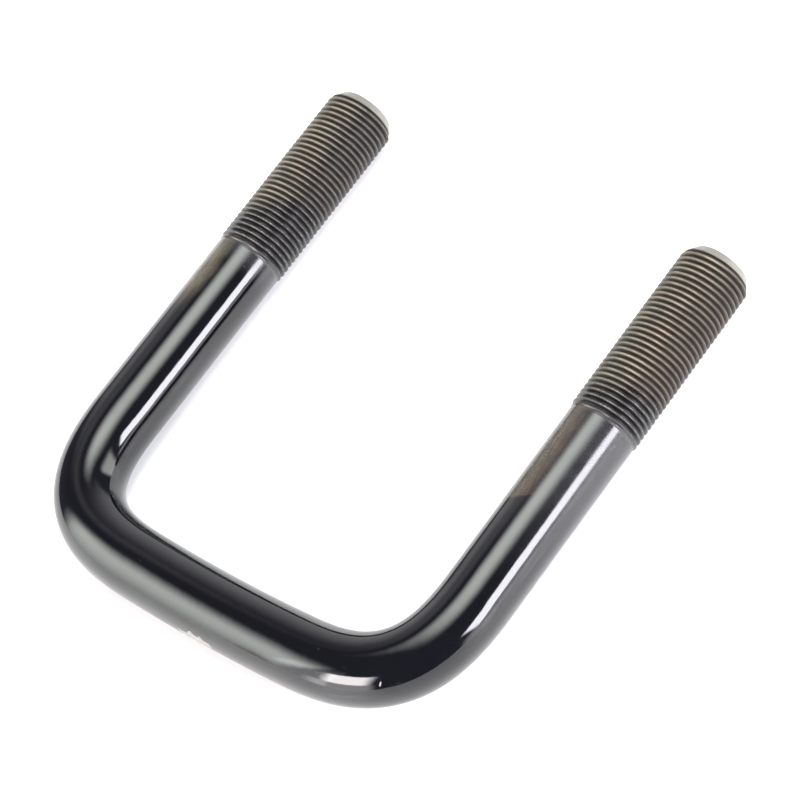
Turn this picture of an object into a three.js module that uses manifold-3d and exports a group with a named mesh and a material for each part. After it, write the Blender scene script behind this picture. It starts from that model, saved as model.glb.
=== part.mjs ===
// A square-bend U-bolt: one round steel bar, bent twice through a right angle, with a rolled thread
// on the end of each leg. It lies on its side: the crown runs along X, the legs point along +Y, and
// the threads' crests rest on Z = 0. Lengths are in millimetres.

import * as THREE from 'three';
import * as BufferGeometryUtils from 'three/addons/utils/BufferGeometryUtils.js';
import Module from 'manifold-3d';

const wasm = await Module();
wasm.setup();

// ---------------------------------------------------------------------------------------------
// Driving dimensions

const INCH = 25.4;

// The thread is 3/4-16 UNF. It is rolled on a bar of the thread's pitch diameter, so the smooth
// shank is thinner than the crests.
const threadPitch = INCH / 16;
const threadMajorRadius = 9.45;
const barRadius = 9.01;

const insideWidth = 3.75 * INCH;
const insideHeight = 5 * INCH;
const threadLength = 2.0625 * INCH;
const tipChamfer = 3;

// The thread fades into the shank over its run-out.
const runOut = 1.5 * threadPitch;

// Each bend spreads over a length of bar and is tightest in its middle: bendEase is how far its
// curvature swings to each side of the mean. The crown keeps a slight outward bow.
const bendLength = 50.65;
const bendEase = 0.585;
const crownBow = THREE.MathUtils.degToRad(2.8);

const sides = 24;
const bendSteps = 14;

// ---------------------------------------------------------------------------------------------
// Worked-out dimensions

const halfSpacing = insideWidth / 2 + barRadius;
const legEnd = insideHeight + barRadius;
// Geometry holds 32-bit numbers, so the bar meets its threads at a height which one holds exactly.
const shankEnd = Math.fround(legEnd - threadLength);
const threadMinorRadius = threadMajorRadius - 0.6134 * threadPitch;
const tipRadius = threadMinorRadius - 1;

// ---------------------------------------------------------------------------------------------
// Solids and booleans

function solid(geometry) {
  geometry.deleteAttribute('normal');
  geometry.deleteAttribute('uv');
  const welded = BufferGeometryUtils.mergeVertices(geometry, 1e-5);
  return new wasm.Manifold(new wasm.Mesh({
    numProp: 3,
    vertProperties: new Float32Array(welded.attributes.position.array),
    triVerts: new Uint32Array(welded.index.array),
  }));
}

function geometryOf(manifold) {
  const mesh = manifold.getMesh();
  const geometry = new THREE.BufferGeometry();
  geometry.setAttribute('position', new THREE.BufferAttribute(mesh.vertProperties, 3));
  geometry.setIndex(new THREE.BufferAttribute(mesh.triVerts, 1));
  return geometry;
}

// ---------------------------------------------------------------------------------------------
// The bent bar

// The bar's heading at a share of the way round a bend, as an angle from the crown's direction.
function bendHeading(share) {
  const turn = Math.PI / 2 - crownBow;
  const swing = bendEase * Math.sin(2 * Math.PI * (share - 0.5)) / (2 * Math.PI);
  return crownBow + turn * (share + swing);
}

// The centreline of one bend, from where the crown meets it at the origin.
function bendPoints() {
  const finePerStep = 8;
  const fineSteps = bendSteps * finePerStep;
  const points = [new THREE.Vector2()];
  for (let i = 0; i < fineSteps; i += 1) {
    const heading = bendHeading((i + 0.5) / fineSteps);
    const step = new THREE.Vector2(Math.cos(heading), Math.sin(heading));
    points.push(points[i].clone().addScaledVector(step, bendLength / fineSteps));
  }
  return points.filter((_, i) => i % finePerStep === 0);
}

// The centreline from the middle of the crown, round the right bend, to the end of the smooth
// shank. The bow is an arc whose reach leaves the leg at its spacing.
function rightCentreline() {
  const bend = bendPoints();
  const bowReach = halfSpacing - bend[bendSteps].x;
  const bowRadius = bowReach / Math.sin(crownBow);
  const bowRise = bowRadius * (1 - Math.cos(crownBow));
  const bendStart = new THREE.Vector2(bowReach, bowRise);
  const bowMiddle = new THREE.Vector2(bowReach / 2, bowRise / 4);
  const round = bend.map((p) => p.clone().add(bendStart));
  return [new THREE.Vector2(), bowMiddle, ...round, new THREE.Vector2(halfSpacing, shankEnd)];
}

// The whole smooth bar's centreline, stepping from point to point, so that each straight leg is
// one step long.
class BarCentreline extends THREE.Curve {
  constructor() {
    super();
    const right = rightCentreline();
    const left = right.slice(1).reverse().map((p) => new THREE.Vector2(-p.x, p.y));
    this.points = [...left, ...right];
    this.steps = this.points.length - 1;
  }

  getUtoTmapping(u) {
    return u;
  }

  getPoint(t, target = new THREE.Vector3()) {
    const p = this.points[Math.round(t * this.steps)];
    return target.set(p.x, p.y, 0);
  }

  getTangent(t, target = new THREE.Vector3()) {
    const i = Math.round(t * this.steps);
    if (i <= 1 || i >= this.steps - 1) {
      return target.set(0, i <= 1 ? -1 : 1, 0);
    }
    const before = this.points[i - 1];
    const after = this.points[i + 1];
    return target.set(after.x - before.x, after.y - before.y, 0).normalize();
  }
}

function bentBar() {
  const section = new THREE.Shape();
  section.absarc(0, 0, barRadius, 0, 2 * Math.PI);
  const path = new BarCentreline();
  return solid(new THREE.ExtrudeGeometry(section, {
    steps: path.steps,
    curveSegments: sides / 2,
    extrudePath: path,
    bevelEnabled: false,
  }));
}

// ---------------------------------------------------------------------------------------------
// The threaded ends, drawn along Z from the shank at z = 0 to the tip

// A rod with a right-hand V thread. Its crest is one helix and its root another, half a pitch on,
// and flanks join them. Both its ends are steps one pitch high, which the blank trims off.
function helicalRod(length) {
  const turns = Math.ceil(length / threadPitch) + 2;
  const last = turns * sides;
  const positions = [];
  for (let i = 0; i <= last; i += 1) {
    const angle = 2 * Math.PI * (i % sides) / sides;
    const climb = threadPitch * (i / sides - 1);
    const cos = Math.cos(angle);
    const sin = Math.sin(angle);
    positions.push(threadMajorRadius * cos, threadMajorRadius * sin, climb);
    positions.push(threadMinorRadius * cos, threadMinorRadius * sin, climb + threadPitch / 2);
  }
  const bottom = positions.length / 3;
  const top = bottom + 1;
  positions.push(0, 0, -threadPitch / 2);
  positions.push(0, 0, threadPitch * (turns - 1));

  const crest = (i) => 2 * i;
  const root = (i) => 2 * i + 1;
  const triangles = [];
  for (let i = 0; i < last; i += 1) {
    triangles.push(crest(i), crest(i + 1), root(i + 1), crest(i), root(i + 1), root(i));
  }
  for (let i = 0, next = sides; next < last; i += 1, next += 1) {
    triangles.push(root(i), root(i + 1), crest(next + 1), root(i), crest(next + 1), crest(next));
  }
  const lastTurn = last - sides;
  for (let i = 0; i < sides; i += 1) {
    triangles.push(bottom, crest(i + 1), crest(i));
    triangles.push(top, root(lastTurn + i), root(lastTurn + i + 1));
  }
  triangles.push(bottom, crest(0), root(0), bottom, root(0), crest(sides));
  triangles.push(top, root(last), crest(last), top, crest(last), root(lastTurn));

  const geometry = new THREE.BufferGeometry();
  geometry.setAttribute('position', new THREE.Float32BufferAttribute(positions, 3));
  geometry.setIndex(triangles);
  return solid(geometry);
}

function turned(profile) {
  const points = profile.map(([radius, z]) => new THREE.Vector2(radius, z));
  return solid(new THREE.LatheGeometry(points, sides).rotateX(Math.PI / 2));
}

// The blank trims the crests: it swells from the shank until it clears them, over the run-out, and
// its chamfer cuts across them at the tip.
function threadBlank() {
  const clearRadius = threadMajorRadius + 0.1;
  return turned([
    [0, 0],
    [barRadius, 0],
    [clearRadius, runOut],
    [clearRadius, threadLength - tipChamfer],
    [tipRadius, threadLength],
    [0, threadLength],
  ]);
}

// The core fills the groove at the shank, so that it grows to its full depth over the run-out.
function runOutCore() {
  return turned([
    [0, 0],
    [barRadius, 0],
    [threadMinorRadius, runOut],
    [0, runOut],
  ]);
}

function threadedEnd() {
  return helicalRod(threadLength).intersect(threadBlank()).add(runOutCore());
}

// ---------------------------------------------------------------------------------------------
// The U-bolt is a single piece of steel: the bar and both its threads are one solid.

function uBolt() {
  const turnToLeg = [-90, 0, 0];
  const end = threadedEnd().rotate(turnToLeg);
  const leftEnd = end.translate([-halfSpacing, shankEnd, 0]);
  const rightEnd = end.translate([halfSpacing, shankEnd, 0]);
  const blackCoatedSteel = new THREE.MeshStandardMaterial({
    color: 0x17191a,
    roughness: 0.18,
    metalness: 0.3,
  });
  blackCoatedSteel.name = 'black_coated_steel';
  const mesh = new THREE.Mesh(geometryOf(bentBar().add(leftEnd).add(rightEnd)), blackCoatedSteel);
  mesh.name = 'threaded_u_bar';
  mesh.position.set(0, -(legEnd - barRadius) / 2, threadMajorRadius);
  return mesh;
}

const uBoltGroup = new THREE.Group();
uBoltGroup.add(uBolt());

export default uBoltGroup;
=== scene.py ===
"""A gloss black square-bend U-bolt with a rolled 3/4-16 thread on each leg, lying on a pale table.

Lengths are in metres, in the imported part's frame: +X along the crown, +Y along the legs towards the
stud ends, +Z up from the table.
"""

import math

import bmesh
import bpy
import numpy as np
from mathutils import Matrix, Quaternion, Vector


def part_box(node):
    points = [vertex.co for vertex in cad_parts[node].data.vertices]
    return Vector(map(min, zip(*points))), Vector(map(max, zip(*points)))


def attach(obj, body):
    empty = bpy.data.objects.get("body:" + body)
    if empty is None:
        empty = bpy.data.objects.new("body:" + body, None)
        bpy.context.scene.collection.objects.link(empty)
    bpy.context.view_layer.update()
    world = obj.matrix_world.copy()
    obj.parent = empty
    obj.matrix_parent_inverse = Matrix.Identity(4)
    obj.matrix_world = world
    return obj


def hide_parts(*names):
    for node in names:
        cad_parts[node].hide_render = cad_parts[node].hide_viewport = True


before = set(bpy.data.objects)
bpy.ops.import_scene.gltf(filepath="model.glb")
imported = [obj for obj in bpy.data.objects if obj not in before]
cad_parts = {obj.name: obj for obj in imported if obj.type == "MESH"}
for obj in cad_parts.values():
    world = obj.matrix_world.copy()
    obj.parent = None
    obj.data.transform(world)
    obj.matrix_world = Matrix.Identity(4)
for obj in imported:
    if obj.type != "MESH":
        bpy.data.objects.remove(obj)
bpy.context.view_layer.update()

# ---------------------------------------------------------------------------------------------
# Driving dimensions

INCH = 0.0254
MM = 0.001

THREAD_PITCH = INCH / 16
THREAD_LENGTH = 2.0625 * INCH
THREAD_DEPTH = 0.6134 * THREAD_PITCH
RUN_OUT = 1.5 * THREAD_PITCH
BAR_RADIUS = 9.01 * MM
TIP_CHAMFER = 3.0 * MM
TIP_STEP = 1.0 * MM

# Each bend spreads over a length of bar and is tightest in its middle; the crown is slightly bowed.
BEND_LENGTH = 50.65 * MM
BEND_EASE = 0.585
CROWN_BOW = math.radians(2.8)

# The rolled thread's section from a crest to the next root: share of a pitch, share of the depth.
HALF_THREAD = (
    (0.00, 0.000),
    (0.05, 0.012),
    (0.09, 0.070),
    (0.17, 0.270),
    (0.27, 0.560),
    (0.36, 0.820),
    (0.43, 0.965),
    (0.50, 1.000),
)

# How fine the mesh is, and how deep the chamfer cuts before it counts as wholly cut.
COLUMNS = 96
SHANK_RING_GAP = 1.0 * MM
FINE_BEND_STEPS = 16
END_RINGS = 8
CUT_BLEND = 0.08 * MM
WELD_GAP = 0.001 * MM
SHORTEST_EDGE = 0.0005 * MM

# A Mix node's sockets: its two numbers and its two colours, and the mixed number and colour.
NUMBER_A, NUMBER_B, COLOUR_A, COLOUR_B = 2, 3, 6, 7
MIXED_NUMBER, MIXED_COLOUR = 0, 2

# The finishes, in the order of the mesh's materials.
COAT, THREAD, END = range(3)

# The camera looks down from the right front, and leans so that the crown slopes down to the right.
VIEW_AZIMUTH = 60.74
VIEW_ELEVATION = 53.01
VIEW_ROLL = -28.80
VIEW_DISTANCE = 842.2 * MM
FOCAL_LENGTH_MM = 155.18
SENSOR_WIDTH_MM = 36.0
AIM_FROM_CENTRE = Vector((5.96, 4.94, 0.0)) * MM

# The light panels stand this far off. One that another overlaps stands behind it.
PANEL_DISTANCE = 1.2
BEHIND = 1.3
TABLE_HALF_WIDTH = 0.9

# ---------------------------------------------------------------------------------------------
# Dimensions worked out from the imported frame

BAR_NODE = "threaded_u_bar"
low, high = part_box(BAR_NODE)
THREAD_RADIUS = (high.z - low.z) / 2
AXIS_Z = low.z + THREAD_RADIUS
HALF_SPACING = high.x - THREAD_RADIUS
CROWN_Y = low.y + BAR_RADIUS
TIP_Y = high.y
SHANK_END_Y = TIP_Y - THREAD_LENGTH
ROOT_RADIUS = THREAD_RADIUS - THREAD_DEPTH
TIP_RADIUS = ROOT_RADIUS - TIP_STEP

# Where the coat is damaged: a chip on the outside of the crown, and a nick on the right bend. Each
# has its middle, and how far it reaches along each axis.
CHIP = Vector((1.0 * MM, low.y, AXIS_Z - 0.5 * MM))
CHIP_REACH = Vector((8.4, 6.0, 4.2)) * MM
NICK = Vector((52.4 * MM, low.y + 10.8 * MM, AXIS_Z + 5.4 * MM))
NICK_REACH = Vector((0.20, 0.75, 0.90)) * MM


# ---------------------------------------------------------------------------------------------
# The bar's centreline


def bend_heading(share):
    """The bar's heading at a share of the way round a bend, as an angle from +X."""
    turn = math.pi / 2 - CROWN_BOW
    swing = BEND_EASE * np.sin(2 * math.pi * (share - 0.5)) / (2 * math.pi)
    return CROWN_BOW + turn * (share + swing)


def bend_points(steps):
    """The centreline of one bend, from where the crown meets it at the origin."""
    fine_steps = steps * FINE_BEND_STEPS
    middles = (np.arange(fine_steps) + 0.5) / fine_steps
    heading = bend_heading(middles)
    step = BEND_LENGTH / fine_steps
    x = np.concatenate(([0.0], np.cumsum(np.cos(heading)) * step))
    y = np.concatenate(([0.0], np.cumsum(np.sin(heading)) * step))
    return x[::FINE_BEND_STEPS], y[::FINE_BEND_STEPS]


def right_half():
    """Points and headings from the middle of the crown to the end of the right shank."""
    bend_steps = round(BEND_LENGTH / SHANK_RING_GAP)
    bend_x, bend_y = bend_points(bend_steps)
    bow_reach = HALF_SPACING - bend_x[-1]
    bow_radius = bow_reach / math.sin(CROWN_BOW)
    bow_steps = round(bow_reach / SHANK_RING_GAP)
    bow_angle = np.linspace(0, CROWN_BOW, bow_steps, endpoint=False)
    bow_x = bow_radius * np.sin(bow_angle)
    bow_y = bow_radius * (1 - np.cos(bow_angle))
    bend_x = bend_x + bow_reach
    bend_y = bend_y + bow_radius * (1 - math.cos(CROWN_BOW))
    leg_start = bend_y[-1]
    leg_end = SHANK_END_Y - CROWN_Y
    leg_steps = round((leg_end - leg_start) / SHANK_RING_GAP)
    leg_y = np.linspace(leg_start, leg_end, leg_steps + 1)[1:]
    x = np.concatenate((bow_x, bend_x, np.full(leg_steps, HALF_SPACING)))
    y = np.concatenate((bow_y, bend_y, leg_y)) + CROWN_Y
    shares = np.linspace(0, 1, bend_steps + 1)
    heading = np.concatenate((bow_angle, bend_heading(shares), np.full(leg_steps, math.pi / 2)))
    return x, y, heading


def whole_centreline():
    """Points and headings of the smooth bar, from the left shank's end to the right one's."""
    x, y, heading = right_half()
    whole_x = np.concatenate((-x[:0:-1], x))
    whole_y = np.concatenate((y[:0:-1], y))
    whole_heading = np.concatenate((-heading[:0:-1], heading))
    return whole_x, whole_y, whole_heading


# ---------------------------------------------------------------------------------------------
# The mesh


class BarMesh:
    """Collects the bar's points and faces. The materials read three values at each point: how far
    along the bar it is from a thread's start, less than 0 on the thread; how deep it is in the
    thread, from 0 at a crest to 1 at a root; and whether the chamfer has cut it, from 0 to 1."""

    def __init__(self):
        self.points = []
        self.along = []
        self.depth = []
        self.cut = []
        self.faces = []
        self.finish = []

    def add_grid(self, points, along, depth, cut, finish):
        """Adds a grid of points, one row per ring and one column per step round the bar."""
        rows, columns = along.shape
        first = len(self.points)
        self.points.extend(map(tuple, points.reshape(-1, 3)))
        self.along.extend(along.ravel())
        self.depth.extend(depth.ravel())
        self.cut.extend(cut.ravel())
        for row in range(rows - 1):
            for column in range(columns - 1):
                corner = first + row * columns + column
                self.faces.append((corner, corner + columns, corner + columns + 1, corner + 1))
                self.finish.append(finish)


def ring_angles():
    return 2 * math.pi * np.arange(COLUMNS + 1) / COLUMNS


def shank_grid():
    """The smooth bar's rings. Returns points and the distance from the nearer thread, in metres."""
    x, y, heading = whole_centreline()
    inward = np.stack((-np.sin(heading), np.cos(heading), np.zeros_like(heading)), axis=1)
    centre = np.stack((x, y, np.full_like(x, AXIS_Z)), axis=1)
    angle = ring_angles()
    across = np.cos(angle)[None, :, None] * inward[:, None, :]
    upward = np.sin(angle)[None, :, None] * np.array((0.0, 0.0, 1.0))
    points = centre[:, None, :] + BAR_RADIUS * (across + upward)
    steps = np.hypot(np.diff(x), np.diff(y))
    travelled = np.concatenate(([0.0], np.cumsum(steps)))
    from_thread = np.minimum(travelled, travelled[-1] - travelled)
    along = np.repeat(from_thread[:, None], COLUMNS + 1, axis=1)
    return points, along


def thread_rows():
    """The rows of the thread's grid, in pitches from the shank's end, with each row's depth."""
    rising = [(1 - share, depth) for share, depth in HALF_THREAD[-2:0:-1]]
    one_turn = list(HALF_THREAD) + rising
    turns = range(-2, round(THREAD_LENGTH / THREAD_PITCH) + 2)
    rows = [(turn + share, depth) for turn in turns for share, depth in one_turn]
    return np.array([row[0] for row in rows]), np.array([row[1] for row in rows])


def thread_grid(side):
    """One leg's thread. Its rows follow the helix, and both its ends are trimmed square."""
    rows, depths = thread_rows()
    angle = ring_angles()
    # Angles start from the inside of the U, and this gives both legs the same right-hand helix.
    turn = side * angle / (2 * math.pi) + (0.5 if side > 0 else 0.0)
    distance = (rows[:, None] + turn[None, :]) * THREAD_PITCH
    distance = np.clip(distance, 0.0, THREAD_LENGTH)
    full_radius = THREAD_RADIUS - THREAD_DEPTH * depths[:, None]
    share = np.clip(distance / RUN_OUT, 0.0, 1.0)
    growth = share * share * (3 - 2 * share)
    radius = BAR_RADIUS + growth * (full_radius - BAR_RADIUS)
    to_tip = THREAD_LENGTH - distance
    chamfer_slope = (THREAD_RADIUS - TIP_RADIUS) / TIP_CHAMFER
    chamfer = TIP_RADIUS + chamfer_slope * to_tip
    cut = np.clip((radius - chamfer) / CUT_BLEND, 0.0, 1.0)
    radius = np.minimum(radius, chamfer)
    inward = -side * np.cos(angle)[None, :]
    x = side * HALF_SPACING + radius * inward
    z = AXIS_Z + radius * np.sin(angle)[None, :]
    points = np.stack((x, SHANK_END_Y + distance, z), axis=2)
    depth = np.clip((THREAD_RADIUS - radius) / THREAD_DEPTH, 0.0, 1.0)
    return points, -distance, depth, cut


def end_face_grid(side):
    """The flat end of a stud: rings from its edge to its middle."""
    angle = ring_angles()
    radius = np.linspace(TIP_RADIUS, 0, END_RINGS)[:, None]
    x = side * HALF_SPACING - side * radius * np.cos(angle)[None, :]
    z = AXIS_Z + radius * np.sin(angle)[None, :]
    return np.stack((x, np.full_like(x, TIP_Y), z), axis=2)


def u_bolt_mesh():
    """The whole bolt as one closed mesh."""
    bar = BarMesh()
    points, along = shank_grid()
    nothing = np.zeros_like(along)
    bar.add_grid(points, along, nothing, nothing, COAT)
    for side in (-1, 1):
        points, along, depth, cut = thread_grid(side)
        bar.add_grid(points, along, depth, cut, THREAD)
        cap = end_face_grid(side)
        everywhere = np.ones(cap.shape[:2])
        bar.add_grid(cap, -THREAD_LENGTH * everywhere, everywhere, everywhere, END)
    mesh = bpy.data.meshes.new("u_bolt_bar")
    mesh.from_pydata(bar.points, [], bar.faces)
    for name, values in (("along", bar.along), ("thread_depth", bar.depth), ("cut", bar.cut)):
        layer = mesh.attributes.new(name, "FLOAT", "POINT")
        layer.data.foreach_set("value", values)
    mesh.polygons.foreach_set("material_index", bar.finish)
    weld(mesh)
    return mesh


def weld(mesh):
    """Joins the grids where they meet, and turns every face outwards."""
    bm = bmesh.new()
    bm.from_mesh(mesh)
    bmesh.ops.remove_doubles(bm, verts=bm.verts, dist=WELD_GAP)
    bmesh.ops.dissolve_degenerate(bm, edges=bm.edges, dist=SHORTEST_EDGE)
    bmesh.ops.recalc_face_normals(bm, faces=bm.faces)
    for face in bm.faces:
        face.smooth = face.material_index != END
    bm.to_mesh(mesh)
    bm.free()


# ---------------------------------------------------------------------------------------------
# Materials


class Nodes:
    """Short calls that build one material's nodes round its Principled shader."""

    def __init__(self, name):
        self.material = bpy.data.materials.new(name)
        self.material.use_nodes = True
        self.tree = self.material.node_tree
        self.shader = self.tree.nodes["Principled BSDF"]
        self.place = self.add("ShaderNodeTexCoord").outputs["Object"]

    def add(self, kind, **settings):
        node = self.tree.nodes.new(kind)
        for setting, value in settings.items():
            setattr(node, setting, value)
        return node

    def put(self, socket, value):
        if isinstance(value, bpy.types.NodeSocket):
            self.tree.links.new(value, socket)
        else:
            socket.default_value = value

    def math(self, operation, first, second=0.0):
        node = self.add("ShaderNodeMath", operation=operation)
        self.put(node.inputs[0], first)
        self.put(node.inputs[1], second)
        return node.outputs[0]

    def product(self, first, *others):
        for other in others:
            first = self.math("MULTIPLY", first, other)
        return first

    def attribute(self, name):
        return self.add("ShaderNodeAttribute", attribute_name=name).outputs["Fac"]

    def axes(self, vector):
        node = self.add("ShaderNodeSeparateXYZ")
        self.put(node.inputs[0], vector)
        return node.outputs

    def noise(self, size, detail=2.0, stretch=(1.0, 1.0, 1.0)):
        """Noise whose features are about size across, longer along axes whose stretch is more."""
        scaled = self.add("ShaderNodeVectorMath", operation="MULTIPLY")
        self.put(scaled.inputs[0], self.place)
        scaled.inputs[1].default_value = [1 / (size * s) for s in stretch]
        node = self.add("ShaderNodeTexNoise")
        self.put(node.inputs["Vector"], scaled.outputs[0])
        node.inputs["Scale"].default_value = 1.0
        node.inputs["Detail"].default_value = detail
        return node.outputs["Fac"]

    def ease(self, value, start, end, low=0.0, high=1.0):
        """Goes smoothly from low to high as value goes from start to end."""
        node = self.add("ShaderNodeMapRange", interpolation_type="SMOOTHSTEP")
        self.put(node.inputs["Value"], value)
        for name, number in zip(("From Min", "From Max", "To Min", "To Max"), (start, end, low, high)):
            self.put(node.inputs[name], number)
        return node.outputs["Result"]

    def mix(self, share, first, second):
        """The first colour where share is 0, and the second where it is 1."""
        node = self.add("ShaderNodeMix", data_type="RGBA")
        self.put(node.inputs["Factor"], share)
        self.put(node.inputs[COLOUR_A], first)
        self.put(node.inputs[COLOUR_B], second)
        return node.outputs[MIXED_COLOUR]

    def blend(self, share, first, second):
        """The first number where share is 0, and the second where it is 1."""
        node = self.add("ShaderNodeMix", data_type="FLOAT")
        self.put(node.inputs["Factor"], share)
        self.put(node.inputs[NUMBER_A], first)
        self.put(node.inputs[NUMBER_B], second)
        return node.outputs[MIXED_NUMBER]

    def bump(self, height, distance, below=None):
        """Bump whose full height is distance, over the bump below it."""
        node = self.add("ShaderNodeBump")
        node.inputs["Distance"].default_value = distance
        self.put(node.inputs["Height"], height)
        if below is not None:
            self.put(node.inputs["Normal"], below)
        return node.outputs["Normal"]


def colour(red, green, blue):
    return (red, green, blue, 1.0)


def near(n, point, reach):
    """1 at a point on the bar, falling to 0 at reach from it along each axis."""
    offset = n.add("ShaderNodeVectorMath", operation="SUBTRACT")
    n.put(offset.inputs[0], n.place)
    offset.inputs[1].default_value = point
    scaled = n.add("ShaderNodeVectorMath", operation="DIVIDE")
    n.put(scaled.inputs[0], offset.outputs[0])
    scaled.inputs[1].default_value = reach
    length = n.add("ShaderNodeVectorMath", operation="LENGTH")
    n.put(length.inputs[0], scaled.outputs[0])
    return n.math("SUBTRACT", 1.0, length.outputs["Value"])


def centred(n, noise, reach):
    """Noise turned into a wander of up to about reach to each side."""
    return n.math("MULTIPLY", n.math("SUBTRACT", noise, 0.5), 2 * reach)


def on_right_leg(n):
    """0 on the left half of the bolt and 1 on the right half."""
    x = n.axes(n.place)["X"]
    return n.ease(x, -5 * MM, 5 * MM)


def facing_left(n, right_leg):
    """How far the surface of a leg faces -X: 1 right at it, 0 straight up or down, -1 away."""
    from_middle = n.math("ABSOLUTE", n.axes(n.place)["X"])
    outwards = n.math("DIVIDE", n.math("SUBTRACT", from_middle, HALF_SPACING), BAR_RADIUS)
    return n.math("MULTIPLY", outwards, n.blend(right_leg, 1.0, -1.0))


def coat_haze(n, right_leg, along, blotches, specks):
    """How far the coat has gone hazy: more towards the threads, and further on the right leg."""
    reach = n.blend(right_leg, 7 * MM, 50 * MM)
    near_thread = n.ease(n.math("DIVIDE", along, reach), 0.0, 1.0, 1.0, 0.0)
    uneven = n.ease(blotches, 0.2, 0.7, 0.6, 1.0)
    speckled = n.ease(specks, 0.35, 0.65, 0.7, 1.0)
    return n.product(near_thread, uneven, speckled)


def brown_patch(n, right_leg, along, wander, grain, specks):
    """How brown the coat is: by each thread, on the side of the leg that faces -X."""
    facing = facing_left(n, right_leg)
    side_edge = n.blend(right_leg, 0.08, 0.04)
    from_edge = n.math("SUBTRACT", n.math("ADD", facing, centred(n, wander, 0.25)), side_edge)
    side_share = n.ease(from_edge, -0.26, 0.24)

    # Its lower end slants across the leg, and is crisp on the right leg.
    slant = n.math("MULTIPLY", facing, n.blend(right_leg, -8 * MM, -4.4 * MM))
    reach = n.math("ADD", n.math("ADD", along, slant), centred(n, wander, 1.0 * MM))
    patch_end = n.blend(right_leg, 23 * MM, 26 * MM)
    patch_fade = n.blend(right_leg, 12 * MM, 1.2 * MM)
    overshoot = n.math("DIVIDE", n.math("SUBTRACT", reach, patch_end), patch_fade)
    lengthwise = n.ease(overshoot, -1.0, 0.0, 1.0, 0.0)

    grained = n.ease(grain, 0.3, 0.7, 0.6, 1.0)
    speckled = n.ease(specks, 0.3, 0.7, 0.7, 1.0)
    less_by_thread = n.ease(along, 0.5 * MM, 5 * MM, 0.6, 1.0)
    return n.product(side_share, lengthwise, grained, speckled, less_by_thread)


def brown_of_patch(n, right_leg, wander):
    """The patches' own colour: two browns in blotches, paler on the left leg."""
    blotch = n.ease(wander, 0.35, 0.65)
    left = n.mix(blotch, colour(0.108, 0.090, 0.050), colour(0.078, 0.064, 0.046))
    right = n.mix(blotch, colour(0.074, 0.053, 0.036), colour(0.047, 0.042, 0.030))
    return n.mix(right_leg, left, right)


def coat_damage(n):
    """Where the coat is off: the ragged chip, and the nick."""
    ragged = centred(n, n.noise(1.6 * MM, detail=3.0), 0.45)
    chip = n.ease(n.math("ADD", near(n, CHIP, CHIP_REACH), ragged), 0.33, 0.43)
    nick = n.ease(near(n, NICK, NICK_REACH), 0.0, 0.5)
    return chip, nick


def gloss_black_coat():
    """Smooth gloss black, hazy and brownish near the threads, with hairlines, a chip and a nick."""
    n = Nodes("gloss_black_coat")
    right_leg = on_right_leg(n)
    along = n.attribute("along")
    blotches = n.noise(5 * MM, detail=3.0)
    wander = n.noise(7 * MM, detail=4.0)
    grain = n.noise(0.5 * MM, detail=2.0, stretch=(1.0, 8.0, 1.0))
    specks = n.noise(0.35 * MM, detail=1.0)
    haze = coat_haze(n, right_leg, along, blotches, specks)
    patch = brown_patch(n, right_leg, along, wander, grain, specks)
    hairline = n.ease(n.noise(0.3 * MM, detail=1.0, stretch=(10.0, 5.0, 3.0)), 0.75, 0.81, 0.0, 0.5)
    chip, nick = coat_damage(n)
    bare = n.math("MAXIMUM", chip, nick)

    black = n.mix(blotches, colour(0.0006, 0.0006, 0.0011), colour(0.0016, 0.0016, 0.0024))
    hazy_black = colour(0.0190, 0.0185, 0.0200)
    scratch_grey = colour(0.024, 0.024, 0.024)
    bare_steel = colour(0.185, 0.180, 0.170)
    surface = n.mix(haze, black, hazy_black)
    surface = n.mix(patch, surface, brown_of_patch(n, right_leg, wander))
    surface = n.mix(hairline, surface, scratch_grey)
    n.put(n.shader.inputs["Base Color"], n.mix(bare, surface, bare_steel))

    rough = n.blend(blotches, 0.06, 0.09)
    rough = n.blend(haze, rough, 0.21)
    rough = n.blend(patch, rough, 0.29)
    n.put(n.shader.inputs["Roughness"], n.blend(bare, rough, 0.55))
    n.shader.inputs["IOR"].default_value = 1.5

    orange_peel = n.bump(n.noise(3.5 * MM, detail=1.0), 0.018 * MM)
    fine_grain = n.bump(grain, 0.0016 * MM, orange_peel)
    into_coat = n.bump(n.blend(nick, chip, 0.3), -0.08 * MM, fine_grain)
    n.put(n.shader.inputs["Normal"], into_coat)
    return n.material


def thread_steel(n, facing, in_root, grime):
    """The bare thread's colour: worn crests, painted shade down both sides of the leg carrying painted
    reflections of the greenish and violet panels, and dark roots.
    """
    rust = n.ease(n.noise(9 * MM, detail=3.0), 0.42, 0.6)
    clean = n.mix(rust, colour(0.156, 0.143, 0.108), colour(0.166, 0.131, 0.098))
    grimy = colour(0.082, 0.072, 0.058)
    crest = n.mix(n.ease(grime, 0.35, 0.75), clean, grimy)
    # Painted shade and painted reflections: the crests darken towards both sides of the leg, olive on
    # the side facing -X and purplish on the side facing +X.
    painted_side_shade = n.ease(n.math("ABSOLUTE", facing), 0.35, 1.0, 0.0, 0.6)
    side_shade_tints = n.mix(n.ease(facing, -0.3, 0.3), colour(0.040, 0.032, 0.030), colour(0.052, 0.047, 0.024))
    crest = n.mix(painted_side_shade, crest, side_shade_tints)
    root = n.mix(grime, colour(0.007, 0.005, 0.004), colour(0.022, 0.014, 0.009))
    return n.mix(in_root, crest, root)


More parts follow.
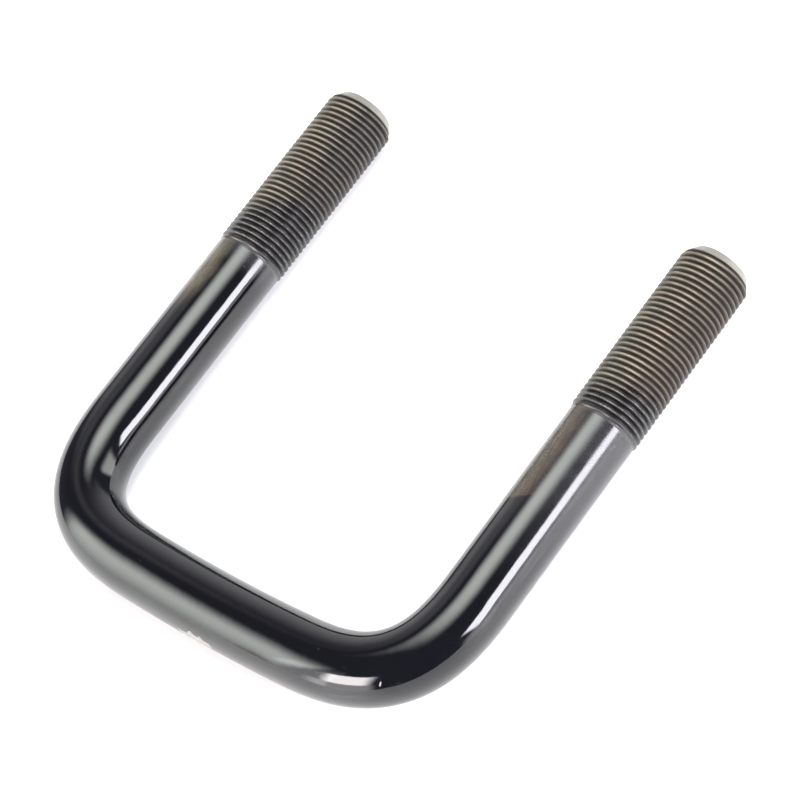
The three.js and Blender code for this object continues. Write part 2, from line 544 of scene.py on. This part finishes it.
def paint_and_darker_side_in_turns(n, right_leg, facing, into_thread, grime):
    """Black paint in the last turns: further up the left leg, and up the side away from -X. Also
    darkens the left leg's thread up to halfway towards the paint on its side facing +X, along its
    whole length.
    """
    slant = n.math("MULTIPLY", facing, n.blend(right_leg, 8 * MM, 4 * MM))
    height = n.math("ADD", n.math("ADD", into_thread, slant), centred(n, grime, 6 * MM))
    paint_end = n.blend(right_leg, 15 * MM, 10 * MM)
    filled = n.ease(n.math("SUBTRACT", height, paint_end), -5 * MM, 2 * MM, 0.92, 0.0)
    # The left leg's thread is darker on its side facing +X, along its whole length.
    left_leg_plus_x_darkening = n.product(n.ease(facing, 0.1, -0.6, 0.0, 0.5), n.blend(right_leg, 1.0, 0.0))
    return n.math("MAXIMUM", filled, left_leg_plus_x_darkening)


def collar_colour(n, facing):
    """The coat's last edge, over the run-out: hazy black, and brownish on the side facing -X."""
    return n.mix(n.ease(facing, -0.1, 0.3), colour(0.021, 0.020, 0.020), colour(0.045, 0.037, 0.026))


def rolled_thread_steel():
    """Bare thread: worn crests, dark oily roots, a machined chamfer and paint in the last turns."""
    n = Nodes("rolled_thread_steel")
    right_leg = on_right_leg(n)
    facing = facing_left(n, right_leg)
    depth = n.attribute("thread_depth")
    cut = n.attribute("cut")
    into_thread = n.math("MULTIPLY", n.attribute("along"), -1.0)
    grime = n.noise(4 * MM, detail=4.0)
    fine = n.noise(0.35 * MM, detail=2.0)
    in_root = n.ease(n.math("ADD", depth, centred(n, fine, 0.15)), 0.10, 0.66)
    collar = n.ease(into_thread, 0.5 * THREAD_PITCH, RUN_OUT, 1.0, 0.0)
    turns = paint_and_darker_side_in_turns(n, right_leg, facing, into_thread, grime)
    paint = n.math("MAXIMUM", turns, collar)

    # The paint is worn through in glints along the crests.
    on_crest = n.ease(depth, 0.0, 0.3, 1.0, 0.0)
    worn = n.product(on_crest, n.ease(fine, 0.50, 0.62, 0.04, 1.0))
    painted = n.mix(worn, colour(0.003, 0.003, 0.004), colour(0.150, 0.142, 0.138))
    painted = n.mix(collar, painted, collar_colour(n, facing))
    threads = n.mix(paint, thread_steel(n, facing, in_root, grime), painted)

    # The chamfer cuts through crests and roots down to clean steel.
    machined = n.mix(grime, colour(0.165, 0.160, 0.137), colour(0.112, 0.107, 0.091))
    n.put(n.shader.inputs["Base Color"], n.mix(cut, threads, machined))

    metal = n.blend(paint, n.blend(in_root, 0.55, 0.15), n.math("MULTIPLY", worn, 0.5))
    n.put(n.shader.inputs["Metallic"], n.blend(cut, metal, 0.35))
    rough = n.blend(in_root, n.blend(fine, 0.34, 0.5), 0.55)
    rough = n.blend(paint, rough, 0.28)
    rough = n.blend(collar, rough, 0.2)
    n.put(n.shader.inputs["Roughness"], n.blend(cut, rough, 0.42))
    n.put(n.shader.inputs["Normal"], n.bump(fine, 0.01 * MM))
    return n.material


def cut_end_steel():
    """The cut end of a stud: dull steel with fine rings left by the cutter."""
    n = Nodes("cut_end_steel")
    place = n.axes(n.place)
    across = n.math("SUBTRACT", n.math("ABSOLUTE", place["X"]), HALF_SPACING)
    rise = n.math("SUBTRACT", place["Z"], AXIS_Z)
    radius = n.math("SQRT", n.math("ADD", n.product(across, across), n.product(rise, rise)))
    ring_gap = 0.45 * MM
    rings = n.math("SINE", n.math("MULTIPLY", radius, 2 * math.pi / ring_gap))
    grime = n.noise(2.0 * MM, detail=4.0)
    steel = n.mix(grime, colour(0.150, 0.144, 0.128), colour(0.095, 0.086, 0.072))
    n.put(n.shader.inputs["Base Color"], steel)
    n.shader.inputs["Metallic"].default_value = 0.5
    n.put(n.shader.inputs["Roughness"], n.blend(grime, 0.4, 0.55))
    n.put(n.shader.inputs["Normal"], n.bump(rings, 0.004 * MM))
    return n.material


def pale_table():
    """Plain pale grey, a little uneven in its gloss."""
    n = Nodes("pale_table")
    n.shader.inputs["Base Color"].default_value = colour(0.84, 0.84, 0.84)
    n.put(n.shader.inputs["Roughness"], n.noise(20 * MM))
    return n.material


# ---------------------------------------------------------------------------------------------
# The bolt


def build_u_bolt():
    bolt = bpy.data.objects.new("u_bolt_bar", u_bolt_mesh())
    bpy.context.scene.collection.objects.link(bolt)
    for material in (gloss_black_coat(), rolled_thread_steel(), cut_end_steel()):
        bolt.data.materials.append(material)
    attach(bolt, "root")
    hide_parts(BAR_NODE)


# ---------------------------------------------------------------------------------------------
# Camera, lights and table


def heading(azimuth, elevation):
    """A direction from its azimuth, from -Y towards +X, and its elevation, in degrees."""
    a = math.radians(azimuth)
    e = math.radians(elevation)
    return Vector((math.sin(a) * math.cos(e), -math.cos(a) * math.cos(e), math.sin(e)))


def add_camera():
    aim = (low + high) / 2 + AIM_FROM_CENTRE
    back = heading(VIEW_AZIMUTH, VIEW_ELEVATION)
    camera = bpy.data.objects.new("camera", bpy.data.cameras.new("camera"))
    camera.data.sensor_width = SENSOR_WIDTH_MM
    camera.data.lens = FOCAL_LENGTH_MM
    camera.location = aim + back * VIEW_DISTANCE
    roll = Quaternion((0.0, 0.0, 1.0), math.radians(VIEW_ROLL))
    camera.rotation_mode = "QUATERNION"
    camera.rotation_quaternion = back.to_track_quat("Z", "Y") @ roll
    bpy.context.scene.collection.objects.link(camera)
    bpy.context.scene.camera = camera


def fade_edges(light, fades, foot):
    """Fades a panel in from its left, right, bottom and top edges, over a share of its size.
    foot is the share of its brightness that its bottom edge keeps."""
    bottom = 2
    light.use_nodes = True
    tree = light.node_tree
    geometry = tree.nodes.new("ShaderNodeNewGeometry")
    split = tree.nodes.new("ShaderNodeSeparateXYZ")
    tree.links.new(geometry.outputs["Parametric"], split.inputs[0])
    strength = None
    for edge, share in enumerate(fades):
        if share == 0:
            continue
        start, end = (1.0, 1.0 - share) if edge % 2 else (0.0, share)
        fade = tree.nodes.new("ShaderNodeMapRange")
        fade.interpolation_type = "SMOOTHSTEP"
        fade.inputs["From Min"].default_value = start
        fade.inputs["From Max"].default_value = end
        fade.inputs["To Min"].default_value = foot if edge == bottom else 0.0
        tree.links.new(split.outputs[edge // 2], fade.inputs["Value"])
        if strength is None:
            strength = fade.outputs["Result"]
        else:
            both = tree.nodes.new("ShaderNodeMath")
            both.operation = "MULTIPLY"
            tree.links.new(strength, both.inputs[0])
            tree.links.new(fade.outputs["Result"], both.inputs[1])
            strength = both.outputs[0]
    tree.links.new(strength, tree.nodes["Emission"].inputs["Strength"])


def add_panel(name, azimuth, elevation, spread, brightness, tint=(1, 1, 1), fades=(0, 0, 0, 0),
              foot=0.0, roll=0.0, distance=PANEL_DISTANCE, in_gloss=True, on_matt=True):
    """A light panel facing the bolt. spread is its width and height in degrees, seen from the
    bolt. It shows in glossy surfaces, lights matt ones, or does both."""
    width, height = (2 * distance * math.tan(math.radians(angle) / 2) for angle in spread)
    light = bpy.data.lights.new(name, "AREA")
    light.shape = "RECTANGLE"
    light.size = width
    light.size_y = height
    light.color = tint
    light.energy = brightness * math.pi * width * height
    if any(fades):
        fade_edges(light, fades, foot)
    panel = bpy.data.objects.new(name, light)
    out = heading(azimuth, elevation)
    panel.location = (low + high) / 2 + out * distance
    panel.rotation_mode = "QUATERNION"
    turn = Quaternion((0.0, 0.0, 1.0), math.radians(roll))
    panel.rotation_quaternion = out.to_track_quat("Z", "Y") @ turn
    panel.visible_camera = False
    panel.visible_glossy = in_gloss
    panel.visible_diffuse = on_matt
    bpy.context.scene.collection.objects.link(panel)


def add_lights():
    pinkish = (1.03, 0.98, 0.98)
    violet = (1.0, 0.99, 1.06)
    greenish = (0.95, 1.0, 0.94)
    warm = (1.06, 1.0, 0.92)
    add_panel("front_panel", 5, 25.5, (34, 25), 20.5, tint=pinkish, fades=(0.2, 0.3, 0.1, 0.1))
    add_panel("front_glow", 2.5, 6, (44, 16), 4.4, tint=pinkish, fades=(0.2, 0.2, 0, 0),
              distance=BEHIND)
    add_panel("front_gap", -17, 24, (20, 52), 3.0, fades=(0, 0, 0, 0.5), distance=BEHIND)
    add_panel("front_fill", -20, 30, (30, 20), 10.0, tint=warm, in_gloss=False)
    add_panel("right_panel", 105, 19, (30, 17), 22.0, tint=violet, fades=(0.12, 0.12, 0, 0), roll=20)
    add_panel("right_glow", 107, 3, (48, 14), 3.6, tint=violet, fades=(0.2, 0.2, 0, 0.3),
              distance=BEHIND)
    add_panel("right_fill", 105, 17, (34, 18), 28.0, tint=violet, in_gloss=False)
    add_panel("left_panel", -46, 27.5, (48, 59), 8.4, tint=greenish, fades=(0.3, 0.15, 0.6, 0.45),
              foot=0.42, on_matt=False)
    add_panel("left_upper_glow", -108, 47, (24, 28), 0.6, fades=(0.5, 0.5, 0.5, 0.5))
    add_panel("back_panel", 147, 20, (34, 44), 6.0, tint=greenish, fades=(0.25, 0.25, 0, 0.4))
    add_panel("back_left_wall", -137, 27.5, (76, 59), 1.3, fades=(0.15, 0.15, 0, 0.7),
              distance=BEHIND)
    add_panel("overhead_panel", 168, 73, (56, 50), 9.8, tint=greenish, fades=(0.5, 0.4, 0.5, 0.5))
    add_panel("overhead_fill", 180, 80, (40, 40), 3.2, in_gloss=False)


def add_surroundings():
    """Dim and slightly blue all round, and pale where the camera looks past the table."""
    world = bpy.data.worlds.new("studio")
    world.use_nodes = True
    tree = world.node_tree
    background = tree.nodes["Background"]
    path = tree.nodes.new("ShaderNodeLightPath")
    pick = tree.nodes.new("ShaderNodeMix")
    pick.data_type = "RGBA"
    tree.links.new(path.outputs["Is Camera Ray"], pick.inputs["Factor"])
    pick.inputs[COLOUR_A].default_value = colour(0.20, 0.20, 0.27)
    pick.inputs[COLOUR_B].default_value = colour(1.0, 1.0, 1.0)
    tree.links.new(pick.outputs[MIXED_COLOUR], background.inputs["Color"])
    bpy.context.scene.world = world


def add_table():
    half = TABLE_HALF_WIDTH
    mesh = bpy.data.meshes.new("table")
    corners = [(-half, -half, low.z), (half, -half, low.z), (half, half, low.z), (-half, half, low.z)]
    mesh.from_pydata(corners, [], [(0, 1, 2, 3)])
    mesh.materials.append(pale_table())
    table = bpy.data.objects.new("table", mesh)
    bpy.context.scene.collection.objects.link(table)


build_u_bolt()
add_camera()
add_lights()
add_surroundings()
add_table()
bpy.context.scene.view_settings.view_transform = "Standard"
